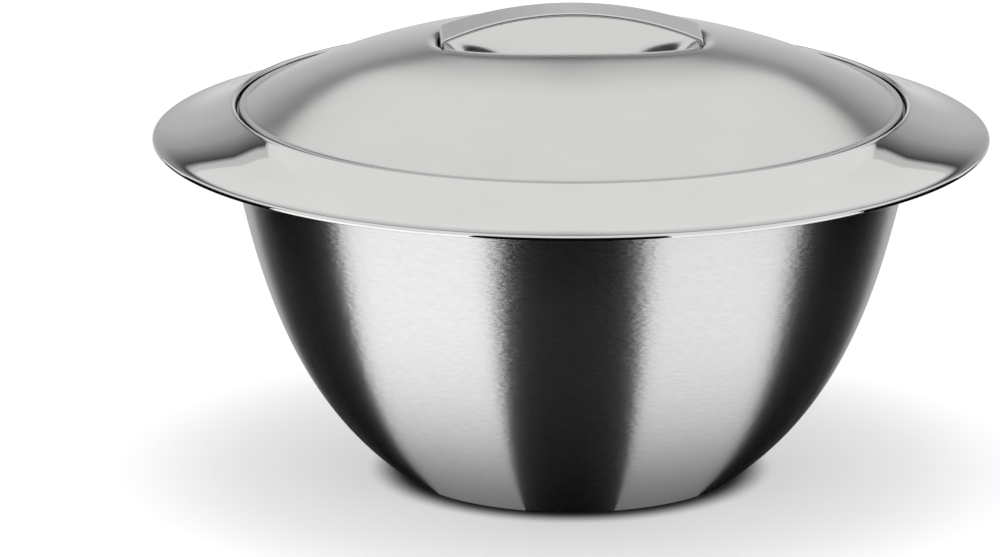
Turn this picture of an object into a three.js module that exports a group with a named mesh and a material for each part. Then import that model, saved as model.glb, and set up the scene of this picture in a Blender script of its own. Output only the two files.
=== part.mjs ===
// Insulated salad bowl: a double-walled steel bowl with a wide polished brim, and a double-walled domed lid
// that lifts off by a strap handle set over a finger recess. Millimetres, +Z up.
// The origin is on the standing surface, on the bowl's axis. The strap runs along X.

import * as THREE from 'three';
import { mergeVertices } from 'three/addons/utils/BufferGeometryUtils.js';

// Bowl: brim and mouth
const RIM_RADIUS = 110;
const RIM_HEIGHT = 91.5;
const BRIM_RISE = 8.4;
const BRIM_EDGE_SLOPE = 7;
const BRIM_CREST_SLOPE = 31;
const BRIM_EDGE_PULL = 0.24; // share of the brim's slant width
const BRIM_CREST_PULL = 0.44; // share of the brim's slant width
const CREST_ROUND = 1;
const MOUTH_RADIUS = 88;
const MOUTH_DEPTH = 2;
const HEM_THICKNESS = 1.4;
const HEM_WIDTH = 3.2;

// Bowl: walls and floor
const BOWL_SHEET = 1;
const SHELL_SHEET = 0.8;
const AIR_GAP = 6;
const FLOOR_HEIGHT = 9;
const FLOOR_BLEND = 8;
const LEDGE_NECK = 3;
const WALL_SETBACK = 3;
const WALL_TOP_LEAN = 10;
const WALL_TOP_PULL = 51;
const FLANGE_REACH = 0.44; // share of the way from the wall's top to the hem

// Bowl: foot and the parts that close it
const FOOT_RADIUS = 44;
const FOOT_LEAN = 54;
const FOOT_PULL = 33;
const FOOT_ROUND = 1.5;
const FOOT_RING_WIDTH = 6;
const FOOT_RECESS = 1.8;
const BASE_SEAT_WIDTH = 7;
const BASE_SHEET = 0.8;
const VENT_RADIUS = 3;
const PLUG_HEAD_WIDTH = 2;
const PLUG_HEAD_THICKNESS = 0.6;

// Lid: dome, edge and finger recess
const LID_SHEET = 0.8;
const LID_CLEARANCE = 0.8;
const EDGE_RING_WIDTH = 1.8;
const DOME_RISE = 20.7;
const RECESS_LENGTH = 77;
const RECESS_WIDTH = 72;
const RECESS_DEPTH = 10.5;
const RECESS_FLOOR_LENGTH = 50;
const RECESS_FLOOR_WIDTH = 12;
const RECESS_LIP_SQUARENESS = 2;
const RECESS_FLOOR_SQUARENESS = 4;
const RECESS_END_SOFTNESS = 1;
const RECESS_SIDE_SOFTNESS = 2;

// Lid: liner underneath
const LID_AIR_GAP = 3;
const SKIRT_DEPTH = 4;
const SKIRT_CLEARANCE = 0.8;
const SKIRT_ROUND = 1.5;

// Handle strap
const STRAP_LIFT = 4.8;
const STRAP_TAB = 2.8;
const STRAP_LENGTH = 68.8;
const STRAP_SHEET = 1;
const STRAP_MIDDLE_WIDTH = 13;
const STRAP_END_WIDTH = 18.5;
const STRAP_BEND = 1.2;

// Clearances between pieces that are welded or pressed together
const FIT_GAP = 0.3;
const WELD_GAP = 0.6;

// Facets
const SEGMENTS = 48;
const PLUG_SEGMENTS = 24;
const WALL_STEPS = 8;
const BRIM_STEPS = 5;
const ROUND_STEPS = 3;
const RECESS_STEPS = 9;
const DOME_STEPS = 4;
const STRAP_STEPS = 14;
const STRAP_ROWS = 4;

// Heights and radii that several pieces share
const CREST_HEIGHT = RIM_HEIGHT + BRIM_RISE;
const LEDGE_HEIGHT = CREST_HEIGHT - MOUTH_DEPTH;
const LID_RADIUS = MOUTH_RADIUS - LID_CLEARANCE;
const EDGE_HEIGHT = LEDGE_HEIGHT + 2 * LID_SHEET;
const DOME_EDGE_RADIUS = LID_RADIUS - EDGE_RING_WIDTH;
const APEX_HEIGHT = EDGE_HEIGHT + DOME_RISE;
const DOME_SPHERE = (DOME_EDGE_RADIUS ** 2 + DOME_RISE ** 2) / (2 * DOME_RISE);
const RECESS_FLOOR = APEX_HEIGHT - RECESS_DEPTH;
const SKIRT_BOTTOM = LEDGE_HEIGHT - SKIRT_DEPTH;
const FOOT_RING_INNER = FOOT_RADIUS - FOOT_RING_WIDTH;
const HEM_INNER = RIM_RADIUS - HEM_WIDTH;
const WALL_TOP_RADIUS = MOUTH_RADIUS + WALL_SETBACK;

const POLISHED = { color: 0xd6d6d4, metalness: 1, roughness: 0.12 };
const SATIN_POLISHED = { color: 0xcfcfcd, metalness: 1, roughness: 0.25 };
const BRUSHED = { color: 0xbcbcbb, metalness: 1, roughness: 0.38 };

const radians = THREE.MathUtils.degToRad;
const point = (x, y) => new THREE.Vector2(x, y);

// The direction at an angle from upright, leaning outward
function leaning(degrees) {
  return point(Math.sin(radians(degrees)), Math.cos(radians(degrees)));
}

// Where the line through a along u crosses the line through b along v
function crossing(a, u, b, v) {
  const along = b.clone().sub(a).cross(v) / u.cross(v);
  return a.clone().addScaledVector(u, along);
}

// A point set off to the left of a curve's direction
function besideCurve(curve, t, distance) {
  const tangent = curve.getTangent(t);
  return curve.getPoint(t).add(point(-tangent.y, tangent.x).multiplyScalar(distance));
}

// The place on a rising curve, set off sideways, where one coordinate reaches a value
function stationAt(curve, distance, axis, value) {
  let low = 0;
  let high = 1;
  for (let i = 0; i < 50; i++) {
    const middle = (low + high) / 2;
    if (besideCurve(curve, middle, distance)[axis] < value) low = middle;
    else high = middle;
  }
  return (low + high) / 2;
}

// Points from one station of a curve to another, set off sideways
function stretch(curve, distance, from, to, steps) {
  const points = [];
  for (let i = 0; i <= steps; i++) {
    points.push(besideCurve(curve, THREE.MathUtils.lerp(from, to, i / steps), distance));
  }
  return points;
}

// A line of points set off to its left by a sheet's thickness, with mitred corners
function setOff(points, distance) {
  return points.map((p, i) => {
    const before = points[Math.max(i - 1, 0)];
    const after = points[Math.min(i + 1, points.length - 1)];
    const into = i > 0 ? p.clone().sub(before).normalize() : after.clone().sub(p).normalize();
    const out = i < points.length - 1 ? after.clone().sub(p).normalize() : into;
    const normal = point(-into.y - out.y, into.x + out.x);
    return p.clone().addScaledVector(normal, distance / (1 + into.dot(out)));
  });
}

// A closed mesh geometry: equal points joined, collapsed triangles left out
function closed(positions, triangles) {
  const loose = new THREE.BufferGeometry();
  loose.setAttribute('position', new THREE.Float32BufferAttribute(positions, 3));
  loose.setIndex(triangles);
  const merged = mergeVertices(loose, 1e-4);
  const corners = merged.index.array;
  const kept = [];
  for (let i = 0; i < corners.length; i += 3) {
    const [a, b, c] = corners.slice(i, i + 3);
    if (a !== b && b !== c && c !== a) kept.push(a, b, c);
  }
  merged.setIndex(kept);
  merged.computeVertexNormals();
  return merged;
}

// A profile of radius and height turned about Z
function turned(profile, segments = SEGMENTS) {
  const ring = [...profile, profile[0].clone()];
  if (THREE.ShapeUtils.area(ring) < 0) ring.reverse();
  const lathe = new THREE.LatheGeometry(ring, segments).rotateX(Math.PI / 2);
  return closed([...lathe.attributes.position.array], [...lathe.index.array]);
}

// A skin through rings of points with the same count, each ring closed on itself
function loft(rings) {
  const count = rings[0].length;
  const triangles = [];
  for (let i = 0; i + 1 < rings.length; i++) {
    for (let j = 0; j < count; j++) {
      const next = (j + 1) % count;
      const a = i * count + j;
      const b = (i + 1) * count + j;
      const c = (i + 1) * count + next;
      const d = i * count + next;
      triangles.push(a, b, c, a, c, d);
    }
  }
  return closed(rings.flat().flatMap((p) => [p.x, p.y, p.z]), triangles);
}

// The brim's upper face, from where the crest's rounding ends out to the hem
function brimCurve() {
  const steep = radians(BRIM_CREST_SLOPE);
  const shallow = radians(BRIM_EDGE_SLOPE);
  const centre = point(MOUTH_RADIUS + CREST_ROUND, CREST_HEIGHT - CREST_ROUND);
  const start = centre.add(point(Math.sin(steep), Math.cos(steep)).multiplyScalar(CREST_ROUND));
  const end = point(RIM_RADIUS - HEM_THICKNESS / 2, RIM_HEIGHT);
  const width = start.distanceTo(end);
  const inner = point(Math.cos(steep), -Math.sin(steep)).multiplyScalar(BRIM_CREST_PULL * width);
  const outer = point(Math.cos(shallow), -Math.sin(shallow)).multiplyScalar(BRIM_EDGE_PULL * width);
  return new THREE.CubicBezierCurve(start, start.clone().add(inner), end.clone().sub(outer), end);
}

const BRIM = brimCurve();
const FLANGE_DROP = BOWL_SHEET + FIT_GAP + SHELL_SHEET;
const FLANGE_EDGE_RADIUS = THREE.MathUtils.lerp(WALL_TOP_RADIUS, HEM_INNER, FLANGE_REACH);
const SHELL_TOP = stationAt(BRIM, -FLANGE_DROP, 'x', WALL_TOP_RADIUS);
const SHELL_FLANGE_END = stationAt(BRIM, -FLANGE_DROP, 'x', FLANGE_EDGE_RADIUS);

// The bowl's outer wall, from the foot's corner up to the underside of the brim
function wallCurve() {
  const foot = point(FOOT_RADIUS, 0);
  const top = besideCurve(BRIM, SHELL_TOP, -FLANGE_DROP);
  const low = foot.clone().addScaledVector(leaning(FOOT_LEAN), FOOT_PULL);
  const high = top.clone().addScaledVector(leaning(WALL_TOP_LEAN), -WALL_TOP_PULL);
  return new THREE.CubicBezierCurve(foot, low, high, top);
}

const WALL = wallCurve();
const LINER_INSET = SHELL_SHEET + AIR_GAP + BOWL_SHEET;

// The liner's inner radius at a height below the ledge
function linerRadius(height) {
  return besideCurve(WALL, stationAt(WALL, LINER_INSET, 'y', height), LINER_INSET).x;
}

// Liner, ledge for the lid, mouth and brim, pressed from one sheet and hemmed at the rim
function innerBowl() {
  const from = stationAt(WALL, LINER_INSET, 'y', FLOOR_HEIGHT + FLOOR_BLEND);
  const to = stationAt(WALL, LINER_INSET, 'y', LEDGE_HEIGHT - LEDGE_NECK);
  const wall = stretch(WALL, LINER_INSET, from, to, WALL_STEPS - 1);
  const corner = crossing(point(0, FLOOR_HEIGHT), point(1, 0), wall[0], WALL.getTangent(from));
  const floorEdge = point(corner.x - corner.distanceTo(wall[0]), FLOOR_HEIGHT);
  const blend = new THREE.QuadraticBezierCurve(floorEdge, corner, wall[0]).getPoints(ROUND_STEPS);
  const neck = wall.at(-1);
  const ledgeEdge = point(neck.x + LEDGE_NECK * Math.tan(radians(WALL_TOP_LEAN)), LEDGE_HEIGHT);
  const crest = new THREE.Path().absarc(
    MOUTH_RADIUS + CREST_ROUND, CREST_HEIGHT - CREST_ROUND, CREST_ROUND,
    Math.PI, Math.PI / 2 - radians(BRIM_CREST_SLOPE), true,
  ).getPoints(ROUND_STEPS - 1);
  const upper = [
    point(0, FLOOR_HEIGHT), ...blend, ...wall.slice(1),
    ledgeEdge, point(MOUTH_RADIUS, LEDGE_HEIGHT), ...crest, ...BRIM.getPoints(BRIM_STEPS).slice(1),
  ];
  const hem = new THREE.Path().absarc(
    RIM_RADIUS - HEM_THICKNESS / 2, RIM_HEIGHT - HEM_THICKNESS / 2, HEM_THICKNESS / 2,
    Math.PI / 2, -Math.PI / 2, true,
  ).getPoints(ROUND_STEPS - 1);
  const lower = setOff(upper, -BOWL_SHEET).filter((p) => p.x < HEM_INNER - BOWL_SHEET);
  const hemCorner = point(HEM_INNER, RIM_HEIGHT - HEM_THICKNESS);
  return turned([...upper, ...hem.slice(1), hemCorner, ...lower.reverse()]);
}

// Brushed outer wall with a standing ring, a seat for the base disc and a flange welded under the brim
function outerShell() {
  const seatInner = FOOT_RING_INNER - BASE_SEAT_WIDTH;
  const footEdge = stationAt(WALL, 0, 'y', FOOT_ROUND * leaning(FOOT_LEAN).y);
  const ringEdge = point(FOOT_RADIUS - FOOT_ROUND, 0);
  const corner = new THREE.QuadraticBezierCurve(ringEdge, WALL.getPoint(0), WALL.getPoint(footEdge));
  const flange = stretch(BRIM, -FLANGE_DROP, SHELL_TOP, SHELL_FLANGE_END, ROUND_STEPS - 1);
  const outside = [
    point(seatInner, FOOT_RECESS), point(FOOT_RING_INNER, FOOT_RECESS), point(FOOT_RING_INNER, 0),
    ...corner.getPoints(ROUND_STEPS - 1), ...stretch(WALL, 0, footEdge, 1, WALL_STEPS).slice(1),
    ...flange.slice(1),
  ];
  return turned([...outside, ...setOff(outside, SHELL_SHEET).reverse()]);
}

// Disc welded under the shell's seat to close the space between the walls, with a vent in the middle
function baseDisc() {
  const edge = FOOT_RING_INNER - FIT_GAP;
  const under = FOOT_RECESS - BASE_SHEET;
  return turned([
    point(VENT_RADIUS, under), point(edge, under), point(edge, FOOT_RECESS), point(VENT_RADIUS, FOOT_RECESS),
  ]);
}

// Plug that seals the vent: a stem through the disc and a flat head under it
function ventPlug() {
  const under = FOOT_RECESS - BASE_SHEET;
  const head = VENT_RADIUS + PLUG_HEAD_WIDTH;
  const stem = VENT_RADIUS - FIT_GAP;
  return turned([
    point(0, under - PLUG_HEAD_THICKNESS), point(head, under - PLUG_HEAD_THICKNESS), point(head, under),
    point(stem, under), point(stem, FOOT_RECESS), point(0, FOOT_RECESS),
  ], PLUG_SEGMENTS);
}

// Radius of a rounded oblong in a direction
function oblong(angle, length, width, squareness) {
  const x = Math.abs(Math.cos(angle)) * 2 / length;
  const y = Math.abs(Math.sin(angle)) * 2 / width;
  return (x ** squareness + y ** squareness) ** (-1 / squareness);
}

function recessLip(angle) {
  return oblong(angle, RECESS_LENGTH, RECESS_WIDTH, RECESS_LIP_SQUARENESS);
}

function recessFloor(angle) {
  return oblong(angle, RECESS_FLOOR_LENGTH, RECESS_FLOOR_WIDTH, RECESS_FLOOR_SQUARENESS);
}

// Height of the lid's upper face: a spherical dome that sinks over a soft lip to the recess floor
function lidHeight(x, y) {
  const radius = Math.hypot(x, y);
  const angle = Math.atan2(y, x);
  const dome = APEX_HEIGHT - DOME_SPHERE + Math.sqrt(DOME_SPHERE ** 2 - radius ** 2);
  const lip = recessLip(angle);
  const into = THREE.MathUtils.clamp((lip - radius) / (lip - recessFloor(angle)), 0, 1);
  const softness = THREE.MathUtils.lerp(RECESS_END_SOFTNESS, RECESS_SIDE_SOFTNESS, Math.sin(angle) ** 2);
  const fall = (1 - Math.cos(Math.PI * into ** softness)) / 2;
  return THREE.MathUtils.lerp(dome, RECESS_FLOOR, fall);
}

// The unit normal of the lid's upper face
function lidNormal(x, y) {
  const step = 0.01;
  const slopeX = (lidHeight(x + step, y) - lidHeight(x - step, y)) / (2 * step);
  const slopeY = (lidHeight(x, y + step) - lidHeight(x, y - step)) / (2 * step);
  return new THREE.Vector3(-slopeX, -slopeY, 1).normalize();
}

// A ring of points round the axis, each from a function of its angle
function ringOf(pointAt) {
  return Array.from({ length: SEGMENTS }, (_, i) => pointAt(2 * Math.PI * i / SEGMENTS));
}

// A level ring of one radius
function levelRing(radius, height) {
  return ringOf((a) => new THREE.Vector3(radius * Math.cos(a), radius * Math.sin(a), height));
}

// Upper sheet of the lid: dome with the finger recess pressed into it, and an edge turned down
function lidCover() {
  const reaches = [(a) => recessFloor(a) / 2];
  for (let i = 0; i <= RECESS_STEPS; i++) {
    reaches.push((a) => THREE.MathUtils.lerp(recessFloor(a), recessLip(a), i / RECESS_STEPS));
  }
  for (let i = 1; i < DOME_STEPS; i++) {
    reaches.push((a) => THREE.MathUtils.lerp(recessLip(a), DOME_EDGE_RADIUS, i / DOME_STEPS));
  }
  const face = reaches.map((reach) => ringOf((a) => {
    const x = reach(a) * Math.cos(a);
    const y = reach(a) * Math.sin(a);
    return new THREE.Vector3(x, y, lidHeight(x, y));
  }));
  const below = (p) => p.clone().addScaledVector(lidNormal(p.x, p.y), -LID_SHEET);
  const under = face.map((ring) => ring.map(below));
  const lipInner = LID_RADIUS - LID_SHEET;
  const lipBottom = LEDGE_HEIGHT + FIT_GAP;
  const flat = EDGE_HEIGHT - LID_SHEET;
  return loft([
    levelRing(0, RECESS_FLOOR), ...face,
    levelRing(DOME_EDGE_RADIUS, EDGE_HEIGHT), levelRing(LID_RADIUS, EDGE_HEIGHT),
    levelRing(LID_RADIUS, lipBottom), levelRing(lipInner, lipBottom),
    levelRing(lipInner, flat), levelRing(DOME_EDGE_RADIUS, flat),
    ...under.reverse(), levelRing(0, RECESS_FLOOR - LID_SHEET),
  ]);
}

// Lower sheet of the lid: a shallow dome, a skirt that centres the lid and a flange that rests on the ledge
function lidLiner() {
  const skirt = linerRadius(SKIRT_BOTTOM) - SKIRT_CLEARANCE;
  const rim = LID_RADIUS - LID_SHEET - FIT_GAP;
  const middle = RECESS_FLOOR - LID_SHEET - LID_AIR_GAP - LID_SHEET;
  const edge = point(skirt - SKIRT_ROUND, SKIRT_BOTTOM);
  const dome = new THREE.QuadraticBezierCurve(point(0, middle), point(edge.x / 2, middle), edge);
  const turn = new THREE.QuadraticBezierCurve(
    edge, point(skirt, SKIRT_BOTTOM), point(skirt, SKIRT_BOTTOM + SKIRT_ROUND),
  );
  const under = [
    ...dome.getPoints(DOME_STEPS), ...turn.getPoints(ROUND_STEPS - 1).slice(1),
    point(skirt, LEDGE_HEIGHT), point(rim, LEDGE_HEIGHT),
  ];
  return turned([...under, ...setOff(under, LID_SHEET).reverse()]);
}

// Height of the strap's upper face along its arch
function archHeight(x) {
  const end = STRAP_LENGTH / 2;
  const top = APEX_HEIGHT + STRAP_LIFT;
  const rise = top - lidHeight(end, 0) - STRAP_TAB;
  const radius = (end ** 2 + rise ** 2) / (2 * rise);
  return top - radius + Math.sqrt(radius ** 2 - x ** 2);
}

// Waisted strap over the recess, its ends turned down and welded to the recess walls
function handleStrap() {
  const end = STRAP_LENGTH / 2;
  const shoulder = end - STRAP_BEND;
  const bend = new THREE.QuadraticBezierCurve(
    point(shoulder, archHeight(shoulder)),
    point(end, archHeight(end)),
    point(end, archHeight(end) - STRAP_BEND),
  ).getPoints(ROUND_STEPS);
  const side = [...bend.slice(1), point(end, lidHeight(end, 0) + WELD_GAP)];
  const arch = Array.from({ length: STRAP_STEPS + 1 }, (_, i) => {
    const x = THREE.MathUtils.lerp(-shoulder, shoulder, i / STRAP_STEPS);
    return point(x, archHeight(x));
  });
  const upper = [...side.map((p) => point(-p.x, p.y)).reverse(), ...arch, ...side];
  const lower = setOff(upper, -STRAP_SHEET);
  const across = Array.from({ length: STRAP_ROWS + 1 }, (_, i) => i / STRAP_ROWS - 0.5);

  // One line of points across the strap, dropped to the recess wall at the feet
  const row = (p, isFoot) => across.map((share) => {
    const y = share * THREE.MathUtils.lerp(STRAP_MIDDLE_WIDTH, STRAP_END_WIDTH, (p.x / end) ** 2);
    return new THREE.Vector3(p.x, y, isFoot ? lidHeight(p.x, y) + WELD_GAP : p.y);
  });
  const rings = upper.map((p, i) => {
    const isFoot = i === 0 || i === upper.length - 1;
    return [...row(p, isFoot), ...row(lower[i], isFoot).reverse()];
  });

  // The line along the middle of a foot, where its end face closes
  const footLine = (i) => {
    const line = row(upper[i].clone().lerp(lower[i], 0.5), true);
    return [...line, ...line.toReversed()];
  };
  return loft([footLine(0), ...rings, footLine(upper.length - 1)]);
}

function piece(name, geometry, finish) {
  const mesh = new THREE.Mesh(geometry, new THREE.MeshStandardMaterial(finish));
  mesh.name = name;
  return mesh;
}

const bowl = new THREE.Group();
bowl.add(
  piece('inner_bowl', innerBowl(), POLISHED),
  piece('outer_shell', outerShell(), BRUSHED),
  piece('base_disc', baseDisc(), BRUSHED),
  piece('vent_plug', ventPlug(), SATIN_POLISHED),
);

const lid = new THREE.Group();
lid.add(
  piece('lid_cover', lidCover(), SATIN_POLISHED),
  piece('lid_liner', lidLiner(), SATIN_POLISHED),
  piece('handle_strap', handleStrap(), SATIN_POLISHED),
);

const insulatedBowl = new THREE.Group();
insulatedBowl.add(bowl, lid);

export default insulatedBowl;
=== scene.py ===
# Insulated salad bowl: fine meshes, steel finishes and a small studio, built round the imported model.
# Metres, +Z up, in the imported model's own frame: the bowl stands on z = 0 and the strap runs along X.

import math

import bmesh
import bpy
from bpy.props import FloatProperty, FloatVectorProperty, PointerProperty
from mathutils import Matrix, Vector


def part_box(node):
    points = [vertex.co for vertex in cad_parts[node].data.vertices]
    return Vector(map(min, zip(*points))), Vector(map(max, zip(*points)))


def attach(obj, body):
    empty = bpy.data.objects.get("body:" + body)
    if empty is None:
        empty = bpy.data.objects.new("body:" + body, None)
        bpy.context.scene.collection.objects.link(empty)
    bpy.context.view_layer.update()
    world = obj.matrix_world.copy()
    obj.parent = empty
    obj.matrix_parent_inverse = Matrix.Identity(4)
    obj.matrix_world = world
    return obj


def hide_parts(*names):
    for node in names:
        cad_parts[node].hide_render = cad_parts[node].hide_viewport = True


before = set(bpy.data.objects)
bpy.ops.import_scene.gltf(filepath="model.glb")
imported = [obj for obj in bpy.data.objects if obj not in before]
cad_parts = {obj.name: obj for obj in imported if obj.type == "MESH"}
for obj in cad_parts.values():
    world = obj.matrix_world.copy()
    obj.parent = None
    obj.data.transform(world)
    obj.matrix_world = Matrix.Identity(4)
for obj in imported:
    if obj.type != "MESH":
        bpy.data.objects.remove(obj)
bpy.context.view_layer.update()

bl_info = {
    "name": "Insulated Salad Bowl",
    "version": (1, 0, 0),
    "blender": (4, 5, 0),
    "location": "3D Viewport > Sidebar > Salad Bowl",
    "description": "Builds a double-walled steel salad bowl with a lift-off lid, and a studio for it",
    "category": "Add Mesh",
}

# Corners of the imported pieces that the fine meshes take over
RIM_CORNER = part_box("inner_bowl")[1]
LID_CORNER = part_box("lid_cover")[1]
LINER_FLOOR, LINER_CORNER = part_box("lid_liner")
STRAP_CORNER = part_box("handle_strap")[1]
DISC_FLOOR, DISC_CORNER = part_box("base_disc")
PLUG_FLOOR, PLUG_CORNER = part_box("vent_plug")

# Fineness of the meshes
TURN_STEPS = 240
CURVE_STEPS = 48
ROUND_STEPS = 8
RECESS_RINGS = 40
DOME_RINGS = 36
FLOOR_RINGS = 8
STRAP_STEPS = 72
TAB_STEPS = 4
SEARCH_STEPS = 40
NORMAL_STEP = 2e-5
ROUND_HOLD = 5e-5
SAME_POINT = 4e-6
SHARP_ANGLE = math.radians(40)

# Share of the room at the skirt's corner that its rounding takes up
SKIRT_ROUND_SHARE = 0.9


def length(name, description, default):
    """A size in metres that a user can change"""
    return FloatProperty(name=name, description=description, default=default, precision=5,
                         subtype="DISTANCE", unit="LENGTH")


def slope(name, description, degrees):
    """An angle that a user can change"""
    return FloatProperty(name=name, description=description, default=math.radians(degrees),
                         subtype="ANGLE", unit="ROTATION")


def share(name, description, default):
    """A part of one that a user can change"""
    return FloatProperty(name=name, description=description, default=default, min=0, soft_max=1,
                         subtype="FACTOR")


def number(name, description, default):
    """A plain number that a user can change"""
    return FloatProperty(name=name, description=description, default=default)


def colour(name, description, default):
    """A colour that a user can change"""
    return FloatVectorProperty(name=name, description=description, default=default, min=0, max=1,
                               subtype="COLOR", size=3)


class BowlSizes(bpy.types.PropertyGroup):
    """Sizes of the bowl's two walls, brim and foot"""
    rim_radius: length("Rim radius", "Axis to the brim's outer edge", RIM_CORNER.x)
    rim_height: length("Rim height", "Top of the brim's outer edge above the table", 0.0915)
    brim_rise: length("Brim rise", "From the brim's outer edge up to its crest", 0.0084)
    brim_edge_slope: slope("Brim edge slope", "Fall of the brim at its outer edge", 7)
    brim_crest_slope: slope("Brim crest slope", "Fall of the brim beside its crest", 31)
    brim_edge_pull: share("Brim edge pull", "How far the edge slope holds, of the slant width", 0.24)
    brim_crest_pull: share("Brim crest pull", "How far the crest slope holds, of the slant width", 0.44)
    crest_round: length("Crest rounding", "Radius where the brim turns down into the mouth", 0.001)
    mouth_radius: length("Mouth radius", "Axis to the wall round the lid", 0.088)
    mouth_depth: length("Mouth depth", "From the crest down to the ledge for the lid", 0.002)
    hem_thickness: length("Hem thickness", "Height of the folded edge", 0.0014)
    hem_width: length("Hem width", "How far the edge is folded back", 0.0032)
    ledge_round: length("Ledge rounding", "Radius where the liner turns out to the ledge", 0.0012)
    corner_round: length("Corner rounding", "Radius of small pressed corners", 0.0005)
    bowl_sheet: length("Bowl sheet", "Thickness of the inner bowl", 0.001)
    shell_sheet: length("Shell sheet", "Thickness of the outer shell", 0.0008)
    air_gap: length("Air gap", "Room between the two walls", 0.006)
    floor_height: length("Floor height", "Inside floor above the table", 0.009)
    floor_blend: length("Floor blend", "Height over which the floor turns into the wall", 0.008)
    ledge_neck: length("Ledge neck", "Straight stretch of the liner under the ledge", 0.003)
    wall_setback: length("Wall setback", "From the mouth out to the top of the shell's wall", 0.003)
    wall_top_lean: slope("Wall top lean", "Lean of the wall under the brim", 10)
    wall_top_pull: length("Wall top pull", "How far the top lean holds", 0.051)
    flange_reach: share("Flange reach", "Welded flange, of the way from the wall to the hem", 0.44)
    foot_radius: length("Foot radius", "Axis to the foot's corner", 0.044)
    foot_lean: slope("Foot lean", "Lean of the wall at the foot", 54)
    foot_pull: length("Foot pull", "How far the foot lean holds", 0.033)
    foot_round: length("Foot rounding", "Length of the rounding at the foot's corner", 0.0015)
    foot_ring_width: length("Foot ring width", "Width of the standing ring", 0.006)
    foot_recess: length("Foot recess", "Depth of the hollow inside the standing ring", DISC_CORNER.z)
    base_seat_width: length("Base seat width", "Width of the seat for the base disc", 0.007)
    plug_overlap: length("Plug overlap", "How far the plug's head reaches past its vent", 0.002)
    fit_gap: length("Fit gap", "Gap between pieces that are pressed together", 0.0003)


class LidSizes(bpy.types.PropertyGroup):
    """Sizes of the lid's two sheets, its finger recess and its strap"""
    lid_radius: length("Lid radius", "Axis to the lid's edge", LID_CORNER.x)
    lid_sheet: length("Lid sheet", "Thickness of both sheets", 0.0008)
    edge_ring_width: length("Edge ring width", "Flat ring round the dome", 0.0018)
    edge_round: length("Edge rounding", "Radius of the lid's outer corner", 0.0004)
    dome_rise: length("Dome rise", "Height of the dome above the flat ring", 0.0207)
    recess_length: length("Recess length", "Along the strap, lip to lip", 0.077)
    recess_width: length("Recess width", "Across the strap, lip to lip", 0.072)
    recess_depth: length("Recess depth", "From the dome's apex down to the recess floor", 0.0105)
    recess_floor_length: length("Recess floor length", "Flat floor along the strap", 0.05)
    recess_floor_width: length("Recess floor width", "Flat floor across the strap", 0.012)
    recess_lip_squareness: number("Lip squareness", "2 is an oval, more is squarer", 2)
    recess_floor_squareness: number("Floor squareness", "2 is an oval, more is squarer", 4)
    recess_end_softness: number("End softness", "1 is a plain lip, more is softer", 1)
    recess_side_softness: number("Side softness", "1 is a plain lip, more is softer", 2)
    lid_air_gap: length("Lid air gap", "Room between the lid's two sheets at the middle", 0.003)
    skirt_bottom: length("Skirt bottom", "Lowest line of the lid above the table", LINER_FLOOR.z)
    skirt_clearance: length("Skirt clearance", "Between the lid's skirt and the bowl", 0.0008)
    skirt_round: length("Skirt rounding", "Radius under the skirt", 0.0015)
    liner_radius: length("Liner radius", "Axis to the edge of the lid's lower sheet", LINER_CORNER.x)
    strap_top: length("Strap top", "Highest point of the strap", STRAP_CORNER.z)
    strap_length: length("Strap length", "End to end", 2 * STRAP_CORNER.x)
    strap_end_width: length("Strap end width", "Width at the ends", 2 * STRAP_CORNER.y)
    strap_middle_width: length("Strap middle width", "Width at the waist", 0.013)
    strap_tab: length("Strap tab", "Strap's top above the recess wall at its ends", 0.0028)
    strap_sheet: length("Strap sheet", "Thickness of the strap", 0.001)
    strap_bend: length("Strap bend", "Length of the bend at each end", 0.0012)
    strap_edge_round: length("Strap edge rounding", "Radius along the strap's edges", 0.00045)


class SteelFinishes(bpy.types.PropertyGroup):
    """Colours and polish of the three steel finishes"""
    polished_colour: colour("Polished steel", "Brim and inside of the bowl", (0.67, 0.67, 0.66))
    polished_roughness: share("Polished roughness", "Blur of the mirror polish", 0.025)
    satin_colour: colour("Satin steel", "Lid and strap", (0.635, 0.635, 0.625))
    satin_roughness: share("Satin roughness", "Blur of the soft polish", 0.17)
    brushed_colour: colour("Brushed steel", "Outer shell and base", (0.66, 0.66, 0.655))
    brushed_roughness: share("Brushed roughness", "Blur of the brushed finish", 0.33)
    brushed_stretch: share("Brushed stretch", "How far highlights run across the brushing", 0.95)


class StudioSettings(bpy.types.PropertyGroup):
    """Camera, floor and cards round the bowl"""
    lens: number("Lens", "Focal length in millimetres", 288)
    camera_distance: length("Camera distance", "From the middle of the rim", 2.104)
    camera_elevation: slope("Camera elevation", "Above the horizon, seen from the rim", 13.74)
    camera_azimuth: slope("Camera azimuth", "Turn round the bowl from straight in front", -2.2)
    floor_colour: colour("Floor", "Pale paper under the bowl", (0.42, 0.42, 0.42))
    # Less white lift round the bowl than away from it paints a pool of shade round the bowl
    floor_lift_near: share("Floor lift near", "White added to the floor round the bowl", 0.5)
    floor_lift_far: share("Floor lift far", "White added to the floor away from the bowl", 0.65)
    surround: share("Surround", "Even soft light from all sides, shown as white", 0.88)
    overhead_power: FloatProperty(name="Overhead power", description="Soft lamp above the bowl",
                                  default=6.6, subtype="POWER", unit="POWER")
    overhead_height: length("Overhead height", "Soft lamp above the floor", 1.5)
    overhead_size: length("Overhead size", "Side of the soft lamp", 0.7)


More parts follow.
